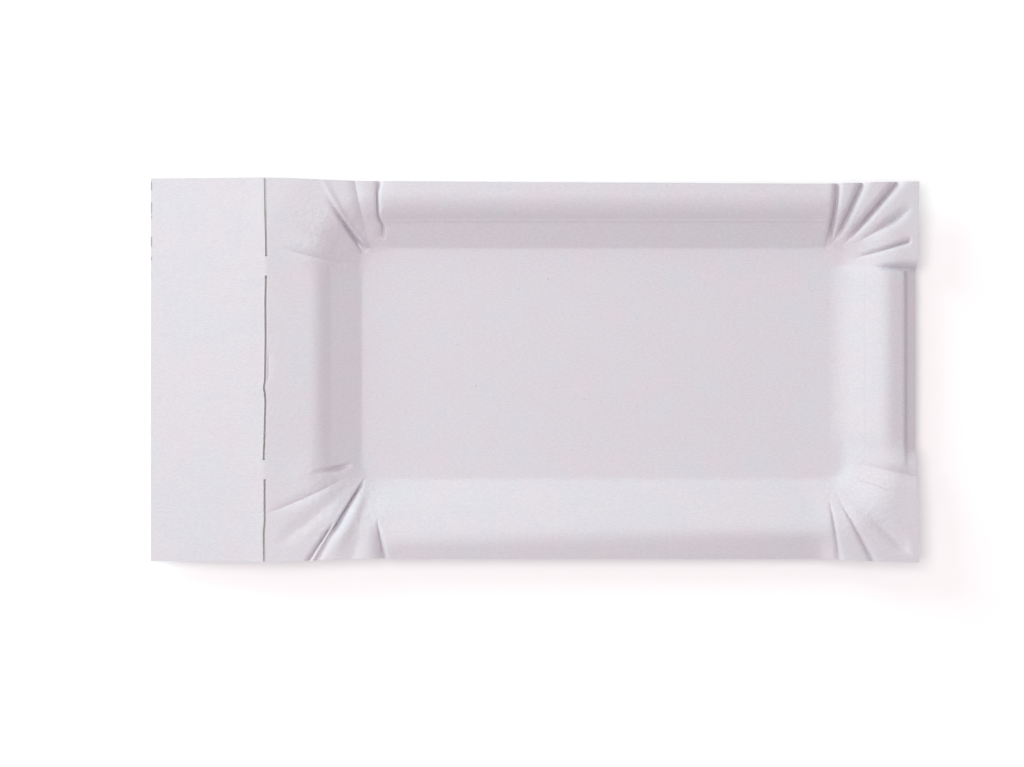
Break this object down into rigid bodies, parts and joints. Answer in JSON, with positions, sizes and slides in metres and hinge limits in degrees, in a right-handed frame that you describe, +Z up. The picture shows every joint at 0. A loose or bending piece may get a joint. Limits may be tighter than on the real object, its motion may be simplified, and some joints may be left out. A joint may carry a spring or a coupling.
{
  "type": "food tray",
  "caption": "Shallow pressed board snack tray with sloped walls, a rolled rim, fluted corners and a tear-off tab along one short side.",
  "frame": {"origin": "under the middle of the tray's outline with its tab, on the plane that the floor rests on", "axes": "+X along the length, away from the tear-off tab; +Y across the width, towards the long side at the top of the picture; +Z up, out of the open side"},
  "size_m": [0.2, 0.1, 0.0076],
  "materials": {
    "board": "uncoated white board, matt, fine fibre grain"
  },
  "bodies": {
    "root": {"tray": "board"}
  },
  "joints": []
}
